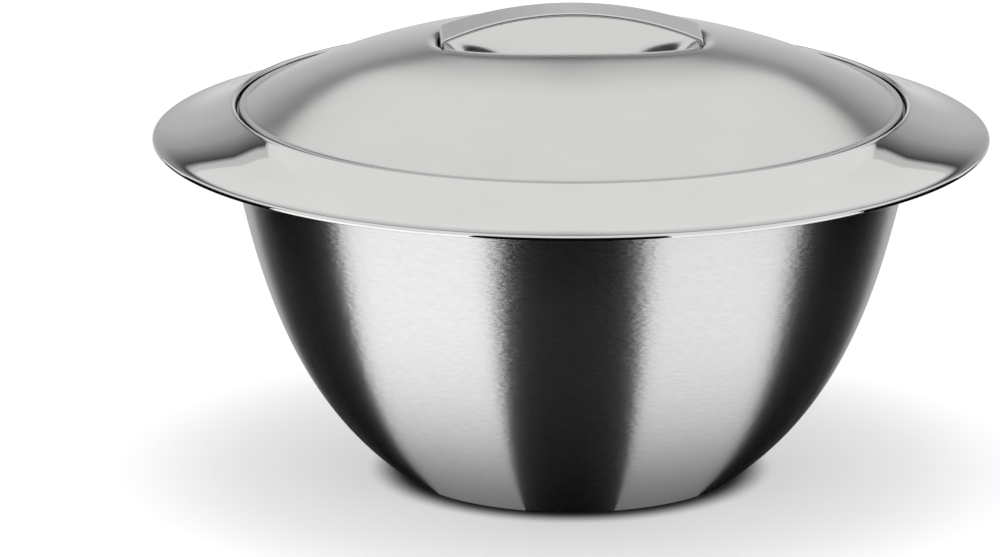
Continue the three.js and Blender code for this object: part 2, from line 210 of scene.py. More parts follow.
class Bezier:
    """A Bezier curve through points of radius and height"""

    def __init__(self, *controls):
        self.controls = list(controls)

    @staticmethod
    def blend(points, t):
        while len(points) > 1:
            points = [a.lerp(b, t) for a, b in zip(points, points[1:])]
        return points[0]

    def point(self, t):
        return self.blend(self.controls, t)

    def tangent(self, t):
        steps = [b - a for a, b in zip(self.controls, self.controls[1:])]
        return self.blend(steps, t).normalized()

    def beside(self, t, distance):
        """The point at t, set off to the left of the curve"""
        along = self.tangent(t)
        return self.point(t) + Vector((-along.y, along.x)) * distance

    def station(self, distance, axis, value):
        """Where the curve, set off to its left, reaches a value along one axis"""
        low = 0.0
        high = 1.0
        for _ in range(SEARCH_STEPS):
            middle = (low + high) / 2
            if self.beside(middle, distance)[axis] < value:
                low = middle
            else:
                high = middle
        return (low + high) / 2

    def stretch(self, distance, start, end, steps):
        """Points from one station to another, set off to the left"""
        return [self.beside(start + (end - start) * i / steps, distance) for i in range(steps + 1)]

    def points(self, steps):
        return [self.point(i / steps) for i in range(steps + 1)]


def spot(radius, height):
    return Vector((radius, height))


def leaning(angle):
    """The direction at an angle from upright, leaning outward"""
    return Vector((math.sin(angle), math.cos(angle)))


def crossing(a, along_a, b, along_b):
    """Where the line through a crosses the line through b"""
    reach = (b - a).cross(along_b) / along_a.cross(along_b)
    return a + along_a * reach


def arc(centre, radius, start, end, steps=ROUND_STEPS):
    """Points on an arc between two angles from the outward direction"""
    angles = [start + (end - start) * i / steps for i in range(steps + 1)]
    return [centre + Vector((math.cos(a), math.sin(a))) * radius for a in angles]


def rounded(corners, steps=ROUND_STEPS):
    """Points along a line of (corner, radius) pairs, each corner turned by an arc"""
    points = []
    for i, (corner, radius) in enumerate(corners):
        if radius == 0:
            points.append(corner)
            continue
        back = (corners[i - 1][0] - corner).normalized()
        on = (corners[i + 1][0] - corner).normalized()
        half = back.angle(on) / 2
        middle = corner + (back + on).normalized() * (radius / math.sin(half))
        reach = radius / math.tan(half)
        first = (corner + back * reach - middle).normalized()
        last = (corner + on * reach - middle).normalized()
        points.append(corner + back * (reach + ROUND_HOLD))
        points += [middle + first.slerp(last, j / steps) * radius for j in range(steps + 1)]
        points.append(corner + on * (reach + ROUND_HOLD))
    return points


def set_off(points, distance):
    """A line of points set off to its left by a sheet's thickness, with mitred corners"""
    moved = []
    for i, p in enumerate(points):
        into = (p - points[i - 1]).normalized() if i > 0 else (points[1] - p).normalized()
        out = (points[i + 1] - p).normalized() if i + 1 < len(points) else into
        normal = Vector((-into.y - out.y, into.x + out.x))
        moved.append(p + normal * (distance / (1 + into.dot(out))))
    return moved


def distinct(points):
    """The points without those that fall on the one before"""
    kept = points[:1]
    for p in points[1:]:
        if (p - kept[-1]).length > SAME_POINT:
            kept.append(p)
    return kept


def between(a, b, t):
    return a + (b - a) * t


class BowlForm:
    """Curves and lines that the bowl's pieces share, from the bowl's sizes"""

    def __init__(self, s):
        self.sizes = s
        self.crest_height = s.rim_height + s.brim_rise
        self.ledge_height = self.crest_height - s.mouth_depth
        self.crest_centre = spot(s.mouth_radius + s.crest_round, self.crest_height - s.crest_round)
        self.hem_inner = s.rim_radius - s.hem_width
        self.flange_drop = s.bowl_sheet + s.fit_gap + s.shell_sheet
        self.liner_inset = s.shell_sheet + s.air_gap + s.bowl_sheet
        self.brim = self.brim_curve()
        self.wall_top = self.brim.station(-self.flange_drop, 0, s.mouth_radius + s.wall_setback)
        self.wall = self.wall_curve()

    def brim_curve(self):
        """The brim's upper face, from the crest's rounding out to the hem"""
        s = self.sizes
        start = self.crest_centre + leaning(s.brim_crest_slope) * s.crest_round
        end = spot(s.rim_radius - s.hem_thickness / 2, s.rim_height)
        width = (end - start).length
        inner = spot(math.cos(s.brim_crest_slope), -math.sin(s.brim_crest_slope))
        outer = spot(math.cos(s.brim_edge_slope), -math.sin(s.brim_edge_slope))
        return Bezier(start, start + inner * (s.brim_crest_pull * width),
                      end - outer * (s.brim_edge_pull * width), end)

    def wall_curve(self):
        """The shell's outer wall, from the foot's corner up to the underside of the brim"""
        s = self.sizes
        foot = spot(s.foot_radius, 0)
        top = self.brim.beside(self.wall_top, -self.flange_drop)
        return Bezier(foot, foot + leaning(s.foot_lean) * s.foot_pull,
                      top - leaning(s.wall_top_lean) * s.wall_top_pull, top)

    def liner_station(self, height):
        return self.wall.station(self.liner_inset, 1, height)

    def liner_radius(self, height):
        """The liner's inner radius at a height below the ledge"""
        return self.wall.beside(self.liner_station(height), self.liner_inset).x


class LidForm:
    """Heights of the lid's upper face, from the sizes of the bowl and the lid"""

    def __init__(self, bowl_form, s):
        self.sizes = s
        self.ledge_height = bowl_form.ledge_height
        self.edge_height = bowl_form.ledge_height + 2 * s.lid_sheet
        self.dome_edge = s.lid_radius - s.edge_ring_width
        self.apex = self.edge_height + s.dome_rise
        self.sphere = (self.dome_edge ** 2 + s.dome_rise ** 2) / (2 * s.dome_rise)
        self.recess_floor = self.apex - s.recess_depth

    @staticmethod
    def oblong(angle, along, across, squareness):
        """Radius of a rounded oblong in a direction"""
        x = abs(math.cos(angle)) * 2 / along
        y = abs(math.sin(angle)) * 2 / across
        return (x ** squareness + y ** squareness) ** (-1 / squareness)

    def lip_reach(self, angle):
        s = self.sizes
        return self.oblong(angle, s.recess_length, s.recess_width, s.recess_lip_squareness)

    def floor_reach(self, angle):
        s = self.sizes
        return self.oblong(angle, s.recess_floor_length, s.recess_floor_width, s.recess_floor_squareness)

    def height(self, x, y):
        """A spherical dome that sinks over a soft lip to the recess floor"""
        s = self.sizes
        radius = math.hypot(x, y)
        angle = math.atan2(y, x)
        dome = self.apex - self.sphere + math.sqrt(self.sphere ** 2 - radius ** 2)
        lip = self.lip_reach(angle)
        into = (lip - radius) / (lip - self.floor_reach(angle))
        into = min(max(into, 0.0), 1.0)
        softness = between(s.recess_end_softness, s.recess_side_softness, math.sin(angle) ** 2)
        fall = (1 - math.cos(math.pi * into ** softness)) / 2
        return between(dome, self.recess_floor, fall)

    def normal(self, x, y):
        step = NORMAL_STEP
        slope_x = (self.height(x + step, y) - self.height(x - step, y)) / (2 * step)
        slope_y = (self.height(x, y + step) - self.height(x, y - step)) / (2 * step)
        return Vector((-slope_x, -slope_y, 1)).normalized()

    def face(self, reach, angle):
        """A point of the upper face at a reach from the axis"""
        x = reach * math.cos(angle)
        y = reach * math.sin(angle)
        return Vector((x, y, self.height(x, y)))


def turn_angles(steps=TURN_STEPS):
    return [2 * math.pi * i / steps for i in range(steps)]


def skin(mesh, rings):
    """Faces between rings of vertices that each close on themselves"""
    for near, far in zip(rings, rings[1:]):
        count = len(near)
        for j in range(count):
            following = (j + 1) % count
            corners = [near[j], near[following], far[following], far[j]]
            corners = list(dict.fromkeys(corners))
            if len(corners) > 2:
                mesh.faces.new(corners)


def level_ring(mesh, radius, height, steps=TURN_STEPS):
    """A ring of vertices about the axis, or one vertex on it"""
    if radius < SAME_POINT:
        return [mesh.verts.new((0, 0, height))] * steps
    turns = turn_angles(steps)
    return [mesh.verts.new((radius * math.cos(a), radius * math.sin(a), height)) for a in turns]


def turned(profile, steps=TURN_STEPS):
    """A profile of radius and height points, closed on itself, turned about Z"""
    mesh = bmesh.new()
    rings = [level_ring(mesh, p.x, p.y, steps) for p in distinct(profile)]
    skin(mesh, rings + rings[:1])
    return mesh


def placed(mesh, name, finish):
    """An object in the scene with a mesh and its finish"""
    data = bpy.data.meshes.new(name)
    mesh.to_mesh(data)
    mesh.free()
    data.materials.append(finish)
    made = bpy.data.objects.new(name, data)
    bpy.context.scene.collection.objects.link(made)
    return made


def piece(mesh, name, finish, body, node):
    """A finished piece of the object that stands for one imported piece"""
    if any(not edge.is_manifold for edge in mesh.edges):
        raise RuntimeError(name + " is not a closed skin")
    bmesh.ops.recalc_face_normals(mesh, faces=mesh.faces[:])
    made = placed(mesh, name, finish(bpy.context.scene.salad_bowl_steel))
    made.data.shade_smooth()
    made.data.set_sharp_from_angle(angle=SHARP_ANGLE)
    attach(made, body)
    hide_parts(node)
    return made


# Places of the colour sockets on a Mix node
COLOUR_A = 6
COLOUR_B = 7
COLOUR_RESULT = 2

# Span that noise mostly keeps to
NOISE_SPAN = (0.3, 0.7)

# Painted shade in gaps: how far apart their walls may be, how much shade is painted there and how finely
# that is looked for
GAP_SHADE_REACH = 0.0015
GAP_SHADE_DEPTH = 2.0
GAP_SHADE_SAMPLES = 8


class NodeBoard:
    """A shader tree with short ways to add and join nodes"""

    def __init__(self, tree):
        self.tree = tree
        tree.nodes.clear()

    def add(self, kind, settings=None, **sockets):
        made = self.tree.nodes.new("ShaderNode" + kind)
        for key, value in (settings or {}).items():
            setattr(made, key, value)
        for key, value in sockets.items():
            self.feed(made.inputs[key.replace("_", " ")], value)
        return made

    def feed(self, socket, value):
        if isinstance(value, bpy.types.NodeSocket):
            self.tree.links.new(value, socket)
        else:
            socket.default_value = value

    def math(self, operation, a, b=0.0):
        made = self.add("Math", {"operation": operation})
        self.feed(made.inputs[0], a)
        self.feed(made.inputs[1], b)
        return made.outputs[0]

    def ramp(self, value, start, end, low, high, curve="LINEAR"):
        """A value that goes from low to high between two places"""
        made = self.add("MapRange", {"interpolation_type": curve}, Value=value,
                        From_Min=start, From_Max=end, To_Min=low, To_Max=high)
        return made.outputs["Result"]

    def spread(self, value, low, high):
        """A noise value spread over a range"""
        return self.ramp(value, *NOISE_SPAN, low, high)

    def mixed(self, amount, first, second, blend="MIX"):
        """Two colours mixed, or one multiplied by the other"""
        made = self.add("Mix", {"data_type": "RGBA", "blend_type": blend})
        self.feed(made.inputs["Factor"], amount)
        self.feed(made.inputs[COLOUR_A], first)
        self.feed(made.inputs[COLOUR_B], second)
        return made.outputs[COLOUR_RESULT]

    def seen(self):
        """One for what the camera sees, also in metal and through glass, and else nought"""
        ray = self.add("LightPath").outputs
        mirrored = self.math("MAXIMUM", ray["Is Glossy Ray"], ray["Is Transmission Ray"])
        return self.math("MAXIMUM", ray["Is Camera Ray"], mirrored)

    def stretched_noise(self, place, scale, detail):
        """Noise with a scale of its own along each axis, as features to the metre"""
        sized = self.add("Mapping", None, Vector=place, Scale=scale)
        made = self.add("TexNoise", None, Vector=sized.outputs["Vector"], Scale=1.0, Detail=detail)
        return made.outputs["Fac"]

    def relief(self, value, strength, rise):
        """A fine relief from a noise value"""
        return self.add("Bump", None, Strength=strength, Distance=rise, Height=value).outputs["Normal"]

    def gap_shaded(self, tint):
        """A colour with shade painted into narrow gaps and corners"""
        gap = self.add("AmbientOcclusion", {"samples": GAP_SHADE_SAMPLES}, Distance=GAP_SHADE_REACH)
        shade = self.add("Gamma", None, Color=gap.outputs["Color"], Gamma=GAP_SHADE_DEPTH)
        return self.mixed(1.0, tint, shade.outputs["Color"], "MULTIPLY")

    def shaded(self, value, tint, depth):
        """A colour that a noise value makes a little lighter and darker"""
        dark = [c * (1 - depth) for c in tint] + [1]
        light = [min(c * (1 + depth), 1) for c in tint] + [1]
        return self.mixed(self.spread(value, 0.0, 1.0), dark, light)


def new_finish(name):
    """A fresh material with an empty shader tree"""
    finish = bpy.data.materials.get(name)
    if finish is None:
        finish = bpy.data.materials.new(name)
    finish.use_nodes = True
    return finish, NodeBoard(finish.node_tree)


# Marks on the steel: how many to the metre along each axis, and how detailed they are
WIPE_MARKS = ((90, 90, 300), 3)
POLISHED_GRAIN = ((2600, 2600, 2600), 2)
SATIN_CLOUDS = ((70, 70, 70), 4)
SATIN_GRAIN = ((3200, 3200, 3200), 2)
LONG_LINES = ((45, 45, 3800), 3)
SHORT_LINES = ((420, 420, 1900), 2)
LINE_SHARES = (0.4, 0.6)

# Relief of each finish, as strength and height in metres
POLISHED_RELIEF = (0.04, 0.00002)
SATIN_RELIEF = (0.05, 0.00002)
BRUSHED_RELIEF = (0.5, 0.00022)

# How far the blur of each finish varies, and how far its colour does
POLISHED_SPREAD = (0.8, 1.3)
SATIN_SPREAD = (0.9, 1.12)
BRUSHED_SPREAD = (0.96, 1.04)
POLISHED_SHADE = 0.01
SATIN_SHADE = 0.015
BRUSHED_SHADE = 0.04

# Radii between which the softer polish inside the mouth ends, and its added blur
MOUTH_POLISH = (0.0872, 0.0878)
MOUTH_BLUR = 0.12

# Turn of the brushed highlights against the brushing, of a full turn
BRUSHED_TURN = 0.25


def steel(board, tint, roughness, relief):
    """The metal shader that the three finishes share"""
    metal = board.add("BsdfPrincipled", None, Base_Color=tint, Metallic=1.0, Roughness=roughness,
                      Normal=relief)
    board.add("OutputMaterial", None, Surface=metal.outputs["BSDF"])
    return metal


def polished_steel(finishes):
    """Mirror polish with faint wipe marks, a softer polish inside the mouth, and shade painted into narrow
    gaps
    """
    finish, board = new_finish("polished_steel")
    place = board.add("TexCoord").outputs["Object"]
    wipe = board.stretched_noise(place, *WIPE_MARKS)
    grain = board.stretched_noise(place, *POLISHED_GRAIN)
    axes = board.add("SeparateXYZ", None, Vector=place).outputs
    across = board.math("ADD", board.math("POWER", axes["X"], 2.0), board.math("POWER", axes["Y"], 2.0))
    radius = board.math("SQRT", across)
    inside = board.ramp(radius, *MOUTH_POLISH, 1.0, 0.0)
    polish = board.spread(wipe, *(finishes.polished_roughness * part for part in POLISHED_SPREAD))
    roughness = board.math("ADD", polish, board.math("MULTIPLY", inside, MOUTH_BLUR))
    # Painted shade: the colour darkens in narrow gaps and corners
    tint = board.gap_shaded(board.shaded(wipe, finishes.polished_colour, POLISHED_SHADE))
    steel(board, tint, roughness, board.relief(grain, *POLISHED_RELIEF))
    return finish


def satin_steel(finishes):
    """Soft polish with fine grain, slightly cloudy wear, and shade painted into narrow gaps"""
    finish, board = new_finish("satin_steel")
    place = board.add("TexCoord").outputs["Object"]
    cloud = board.stretched_noise(place, *SATIN_CLOUDS)
    grain = board.stretched_noise(place, *SATIN_GRAIN)
    roughness = board.spread(cloud, *(finishes.satin_roughness * part for part in SATIN_SPREAD))
    # Painted shade: the colour darkens in narrow gaps and corners
    tint = board.gap_shaded(board.shaded(cloud, finishes.satin_colour, SATIN_SHADE))
    steel(board, tint, roughness, board.relief(grain, *SATIN_RELIEF))
    return finish


def brushed_steel(finishes):
    """Fine lines brushed round the bowl, which draw highlights out up and down the wall"""
    finish, board = new_finish("brushed_steel")
    place = board.add("TexCoord").outputs["Object"]
    long_lines = board.stretched_noise(place, *LONG_LINES)
    short_lines = board.stretched_noise(place, *SHORT_LINES)
    long_part = board.math("MULTIPLY", long_lines, LINE_SHARES[0])
    short_part = board.math("MULTIPLY", short_lines, LINE_SHARES[1])
    lines = board.math("ADD", long_part, short_part)
    roughness = board.spread(long_lines, *(finishes.brushed_roughness * part for part in BRUSHED_SPREAD))
    tint = board.shaded(short_lines, finishes.brushed_colour, BRUSHED_SHADE)
    metal = steel(board, tint, roughness, board.relief(lines, *BRUSHED_RELIEF))
    metal.inputs["Anisotropic"].default_value = finishes.brushed_stretch
    metal.inputs["Anisotropic Rotation"].default_value = BRUSHED_TURN
    tangent = board.add("Tangent", {"direction_type": "RADIAL", "axis": "Z"})
    board.feed(metal.inputs["Tangent"], tangent.outputs["Tangent"])
    return finish


class SALADBOWL_OT_inner_bowl(bpy.types.Operator):
    """Build the liner, the ledge for the lid, the mouth and the brim as one pressed sheet"""
    bl_idname = "salad_bowl.inner_bowl"
    bl_label = "Inner Bowl"

    def execute(self, context):
        s = context.scene.salad_bowl
        form = BowlForm(s)
        wall_start = form.liner_station(s.floor_height + s.floor_blend)
        wall_end = form.liner_station(form.ledge_height - s.ledge_neck)
        wall = form.wall.stretch(form.liner_inset, wall_start, wall_end, CURVE_STEPS)
        along_floor = spot(1, 0)
        corner = crossing(spot(0, s.floor_height), along_floor, wall[0], form.wall.tangent(wall_start))
        floor_edge = spot(corner.x - (wall[0] - corner).length, s.floor_height)
        blend = Bezier(floor_edge, corner, wall[0]).points(2 * ROUND_STEPS)
        neck = wall[-1]
        ledge_edge = spot(neck.x + s.ledge_neck * math.tan(s.wall_top_lean), form.ledge_height)
        ledge = rounded([
            (neck, 0), (ledge_edge, s.ledge_round),
            (spot(s.mouth_radius, form.ledge_height), s.corner_round),
            (spot(s.mouth_radius, form.crest_centre.y), 0),
        ])
        crest = arc(form.crest_centre, s.crest_round, math.pi, math.pi / 2 - s.brim_crest_slope)
        upper = [spot(0, s.floor_height), *blend, *wall, *ledge, *crest, *form.brim.points(CURVE_STEPS)]
        upper = distinct(upper)
        half_hem = s.hem_thickness / 2
        hem_centre = spot(s.rim_radius - half_hem, s.rim_height - half_hem)
        hem = arc(hem_centre, half_hem, math.pi / 2 - s.brim_edge_slope, -math.pi / 2, 2 * ROUND_STEPS)
        lower = [p for p in set_off(upper, -s.bowl_sheet) if p.x < form.hem_inner - s.bowl_sheet]
        hem_corner = rounded([
            (hem[-1], 0),
            (spot(form.hem_inner, s.rim_height - s.hem_thickness), half_hem / 3),
            (lower[-1], 0),
        ])
        profile = upper + hem + hem_corner + lower[::-1]
        piece(turned(profile), "bowl_liner_and_brim", polished_steel,
              "bowl", "inner_bowl")
        return {"FINISHED"}


class SALADBOWL_OT_outer_shell(bpy.types.Operator):
    """Build the brushed outer wall with its standing ring and the flange under the brim"""
    bl_idname = "salad_bowl.outer_shell"
    bl_label = "Outer Shell"

    def execute(self, context):
        s = context.scene.salad_bowl
        form = BowlForm(s)
        ring_inner = s.foot_radius - s.foot_ring_width
        ring_edge = spot(s.foot_radius - s.foot_round, 0)
        seat = rounded([
            (spot(ring_inner - s.base_seat_width, s.foot_recess), 0),
            (spot(ring_inner, s.foot_recess), s.corner_round),
            (spot(ring_inner, 0), s.corner_round),
            (ring_edge, 0),
        ])
        foot_top = form.wall.station(0, 1, s.foot_round * math.cos(s.foot_lean))
        foot = Bezier(ring_edge, form.wall.point(0), form.wall.point(foot_top)).points(ROUND_STEPS)
        wall = form.wall.stretch(0, foot_top, 1, 2 * CURVE_STEPS)
        flange_edge = between(s.mouth_radius + s.wall_setback, form.hem_inner, s.flange_reach)
        flange_end = form.brim.station(-form.flange_drop, 0, flange_edge)
        flange = form.brim.stretch(-form.flange_drop, form.wall_top, flange_end, ROUND_STEPS)
        outside = distinct(seat + foot + wall + flange)
        profile = outside + set_off(outside, s.shell_sheet)[::-1]
        piece(turned(profile), "brushed_outer_wall", brushed_steel,
              "bowl", "outer_shell")
        return {"FINISHED"}


class SALADBOWL_OT_base(bpy.types.Operator):
    """Build the disc that closes the shell's bottom and the plug in its vent"""
    bl_idname = "salad_bowl.base"
    bl_label = "Base Disc and Vent Plug"

    def execute(self, context):
        s = context.scene.salad_bowl
        under = DISC_FLOOR.z
        top = DISC_CORNER.z
        head = PLUG_CORNER.x
        vent = head - s.plug_overlap
        small = s.corner_round / 2
        disc = rounded([
            (spot(vent, top), 0), (spot(vent, under), small), (spot(DISC_CORNER.x, under), small),
            (spot(DISC_CORNER.x, top), small), (spot(vent, top), 0),
        ])
        piece(turned(disc[:-1]), "base_closing_disc", brushed_steel,
              "bowl", "base_disc")
        stem = vent - s.fit_gap
        plug = rounded([
            (spot(0, PLUG_FLOOR.z), 0), (spot(head, PLUG_FLOOR.z), small), (spot(head, under), small / 2),
            (spot(stem, under), 0), (spot(stem, top), small), (spot(0, top), 0),
        ])
        piece(turned(plug), "base_vent_plug", satin_steel,
              "bowl", "vent_plug")
        return {"FINISHED"}


class SALADBOWL_OT_lid_cover(bpy.types.Operator):
    """Build the lid's upper sheet: a dome with a finger recess and an edge turned down"""
    bl_idname = "salad_bowl.lid_cover"
    bl_label = "Lid Cover"

    def execute(self, context):
        s = context.scene.salad_bowl_lid
        form = LidForm(BowlForm(context.scene.salad_bowl), s)
        dome_end = form.dome_edge - 2 * s.edge_round
        reaches = [lambda a, t=i / FLOOR_RINGS: form.floor_reach(a) * t for i in range(1, FLOOR_RINGS)]
        for i in range(RECESS_RINGS):
            reaches.append(lambda a, t=i / RECESS_RINGS: between(form.floor_reach(a), form.lip_reach(a), t))
        for i in range(DOME_RINGS):
            reaches.append(lambda a, t=i / DOME_RINGS: between(form.lip_reach(a), dome_end, t))
        edge_bottom = form.ledge_height + context.scene.salad_bowl.fit_gap
        inner = s.lid_radius - s.lid_sheet
        edge = rounded([
            (spot(dome_end, form.height(dome_end, 0)), 0),
            (spot(form.dome_edge, form.edge_height), s.edge_round),
            (spot(s.lid_radius, form.edge_height), s.edge_round),
            (spot(s.lid_radius, edge_bottom), s.edge_round / 2),
            (spot(inner, edge_bottom), s.edge_round / 2),
            (spot(inner, form.edge_height - s.lid_sheet), s.edge_round / 4),
            (spot(form.dome_edge, form.edge_height - s.lid_sheet), 0),
        ])
        mesh = bmesh.new()
        rings = [level_ring(mesh, 0, form.recess_floor)]
        under = [level_ring(mesh, 0, form.recess_floor - s.lid_sheet)]
        for reach in reaches:
            points = [form.face(reach(a), a) for a in turn_angles()]
            rings.append([mesh.verts.new(p) for p in points])
            under.append([mesh.verts.new(p - form.normal(p.x, p.y) * s.lid_sheet) for p in points])
        rings += [level_ring(mesh, p.x, p.y) for p in distinct(edge)]
        skin(mesh, rings + under[::-1])
        piece(mesh, "lid_dome_and_recess", satin_steel,
              "lid", "lid_cover")
        return {"FINISHED"}


class SALADBOWL_OT_lid_liner(bpy.types.Operator):
    """Build the lid's lower sheet with the skirt that centres it and the flange that it rests on"""
    bl_idname = "salad_bowl.lid_liner"
    bl_label = "Lid Liner"

    def execute(self, context):
        s = context.scene.salad_bowl_lid
        bowl = BowlForm(context.scene.salad_bowl)
        form = LidForm(bowl, s)
        skirt = bowl.liner_radius(s.skirt_bottom) - s.skirt_clearance
        middle = form.recess_floor - 2 * s.lid_sheet - s.lid_air_gap
        dome_edge = spot(skirt - s.skirt_round, s.skirt_bottom)
        dome = Bezier(spot(0, middle), spot(dome_edge.x / 2, middle), dome_edge).points(CURVE_STEPS)
        side = rounded([
            (dome_edge, 0), (spot(skirt, s.skirt_bottom), s.skirt_round * SKIRT_ROUND_SHARE),
            (spot(skirt, bowl.ledge_height), s.edge_round), (spot(s.liner_radius, bowl.ledge_height), 0),
        ])
        under = distinct(dome + side)
        profile = under + set_off(under, s.lid_sheet)[::-1]
        piece(turned(profile), "lid_lower_sheet", satin_steel,
              "lid", "lid_liner")
        return {"FINISHED"}


class SALADBOWL_OT_handle_strap(bpy.types.Operator):
    """Build the waisted strap over the recess, its ends turned down to the recess wall"""
    bl_idname = "salad_bowl.handle_strap"
    bl_label = "Handle Strap"

    def execute(self, context):
        s = context.scene.salad_bowl_lid
        form = LidForm(BowlForm(context.scene.salad_bowl), s)
        end = s.strap_length / 2
        half_sheet = s.strap_sheet / 2
        rise = s.strap_top - form.height(end, 0) - s.strap_tab
        arc_radius = (end ** 2 + rise ** 2) / (2 * rise)

        def arch(x):
            return s.strap_top - arc_radius + math.sqrt(arc_radius ** 2 - x ** 2)

        shoulder = end - s.strap_bend
        bend = Bezier(spot(shoulder, arch(shoulder)), spot(end, arch(end)),
                      spot(end, arch(end) - s.strap_bend)).points(ROUND_STEPS)
        foot = spot(end, form.height(end, 0))
        side = bend[1:] + [between(bend[-1], foot, i / TAB_STEPS) for i in range(1, TAB_STEPS + 1)]
        stations = [between(-shoulder, shoulder, i / STRAP_STEPS) for i in range(STRAP_STEPS + 1)]
        middle = [spot(x, arch(x)) for x in stations]
        upper = [spot(-p.x, p.y) for p in reversed(side)] + middle + side
        centre = set_off(upper, -half_sheet)
        mesh = bmesh.new()
        rings = []
        for i, p in enumerate(centre):
            width = between(s.strap_middle_width, s.strap_end_width, (upper[i].x / end) ** 2)
            outward = (upper[i] - p).normalized()
            section = rounded([
                (spot(0, half_sheet), 0),
                (spot(width / 2, half_sheet), s.strap_edge_round),
                (spot(width / 2, -half_sheet), s.strap_edge_round),
                (spot(-width / 2, -half_sheet), s.strap_edge_round),
                (spot(-width / 2, half_sheet), s.strap_edge_round),
                (spot(0, half_sheet), 0),
            ], ROUND_STEPS // 2)[:-1]
            is_foot = i in (0, len(centre) - 1)
            ring = []
            for q in section:
                place = p + outward * q.y
                height = form.height(place.x, q.x) if is_foot else place.y
                ring.append(mesh.verts.new((place.x, q.x, height)))
            rings.append(ring)
        skin(mesh, rings)
        mesh.faces.new(rings[0])
        mesh.faces.new(rings[-1])
        piece(mesh, "lid_handle_strap", satin_steel,
              "lid", "handle_strap")
        return {"FINISHED"}


# Picture frame and the pixel at which the middle of the rim is seen
PICTURE_SIZE = (1000, 557)
RIM_CENTRE_PIXEL = (570.5, 131.7)
SENSOR_WIDTH = 36
FAR_CLIP = 100

# Floor: its size, the painted contact shadow round the foot, and where the painted shade round the bowl
# gives way to the paler floor
FLOOR_HALF_WIDTH = 9
FLOOR_SEGMENTS = 8
FOOT_SHADE = (0.0445, 0.0545)
FOOT_SHADE_DEPTH = 0.3
FLOOR_SHADE_POOL = (0.06, 0.13)

# Cards that only the steel mirrors: how far they lie out from the axis, and their height over the floor
CARD_REACHES = (0.0437, 0.047, 0.054, 0.063, 0.08, 0.09, 0.12, 0.2, 0.32, 0.55, 0.9)
CARD_LIFT = 0.0004
CARD_STEPS = 40

# Brightness of the dark cards, and of the white surround at which the cards fade out
DARK_LEVEL = 0.004
PALE_LEVEL = 1.0

# Dark cards: where they begin and end, in degrees from the front, their heights and their darkest share
FRONT_TURN = 26
BACK_TURN = 130
EDGE_TURN = 143
HALF_TURN = 180
FRONT_HEIGHT = 0.8
SIDE_HEIGHT = 0.7
DARK_SHARE = 0.4

# Pale floor cards: name, side, strength, and where they end, in degrees from the front
FOOT_CARDS = (("left", -1, 1.0, 87), ("right", 1, 0.88, 84))

# Brightness that the lower wall mirrors in the floor, by reach from the axis, dim near the foot as a
# painted reflection of the floor's shade there
FOOT_LEVELS = (
    (0.0437, 0.22), (0.047, 0.24), (0.054, 0.3), (0.063, 0.42), (0.08, 0.84), (0.12, 1.45), (0.9, 1.5),
)

# How the wall turns the floor spots that it mirrors: by how much, at which reach, and where that fades out
MIRROR_TURN = 0.37
MIRROR_REACH = 0.054
MIRROR_POWER = 0.68
MIRROR_FADE = 50

# Screen behind: degrees from straight behind, then heights of its dark line, the edge over it and its top
BACK_HEIGHTS = (
    (0, 0.516, 0.77, 1.05),
    (10, 0.465, 0.54, 0.87),
    (12, 0.44, 0.49, 0.84),
    (13.5, 0.425, 0.452, 0.83),
    (15, 0.436, 0.46, 0.83),
    (18.5, 0.472, 0.496, 0.86),
    (22, 0.518, 0.542, 0.9),
    (25, 0.565, 0.59, 0.95),
    (28.5, 0.6, 0.625, 0.98),
    (30.5, 0.645, 0.67, 1.0),
    (33, 0.1, 0.14, 0.3),
    (50, 0.1, 0.14, 0.3),
)

# Brightness of the screen: on the floor from near to far, then up to the dark line by share of its height
BACK_FLOOR = (0.23, 0.7)
BACK_RISE = ((0.35, 0.7), (0.6, 0.67), (0.8, 0.5))
BACK_DARK = 0.07

# Factor on the brightness under the dark line, straight behind and beside
BACK_LOW = (1.12, 0.84)

# Brightness straight behind and beside: at the edge, at the end of the strip over it, and just above that
BACK_EDGE = (0.59, 0.68)
BACK_STRIP_END = (0.68, 0.73)
BACK_ABOVE = (0.69, 0.94)

# Degrees: where the soft part behind ends, how soon the edge is crisp then, and how soon the strip is wide
BACK_SOFT_TURN = 10
BACK_CRISP_TURN = 4
BACK_STRIP_TURN = 14

# The strip: its full width, the least share of that, and where the pale screen over it begins
BACK_STRIP = 0.05
BACK_STRIP_LEAST = 0.2
BACK_STRIP_BLUR = 1.1


def between_stops(stops, place):
    """Values at a place, from a list of stops with the place first"""
    for low, high in zip(stops, stops[1:]):
        if place <= high[0]:
            t = (place - low[0]) / (high[0] - low[0])
            return [between(a, b, t) for a, b in zip(low[1:], high[1:])]
    return stops[-1][1:]


def mirrored_turn(angle, reach):
    """Azimuth in degrees of the floor spot at a reach that the wall mirrors for a far direction"""
    fade = min(1.0, (HALF_TURN - abs(angle)) / MIRROR_FADE)
    return angle * (1 - fade * MIRROR_TURN * (MIRROR_REACH / reach) ** MIRROR_POWER)


def dark_floor():
    """A dark card on the floor, as reach, height and brightness from the foot outward"""
    return [(reach, 0, DARK_LEVEL) for reach in CARD_REACHES]


def dark_line(height):
    """A dark card that lies on the floor, stands up at its far end and fades out at its top"""
    far = CARD_REACHES[-1]
    return dark_floor() + [(far, DARK_SHARE * height, DARK_LEVEL), (far, height, PALE_LEVEL)]


def foot_line(strength):
    """A floor card that brightens away from the foot: a painted reflection of the floor's shade round the
    foot
    """
    return [(reach, 0, strength * between_stops(FOOT_LEVELS, reach)[0]) for reach in CARD_REACHES]


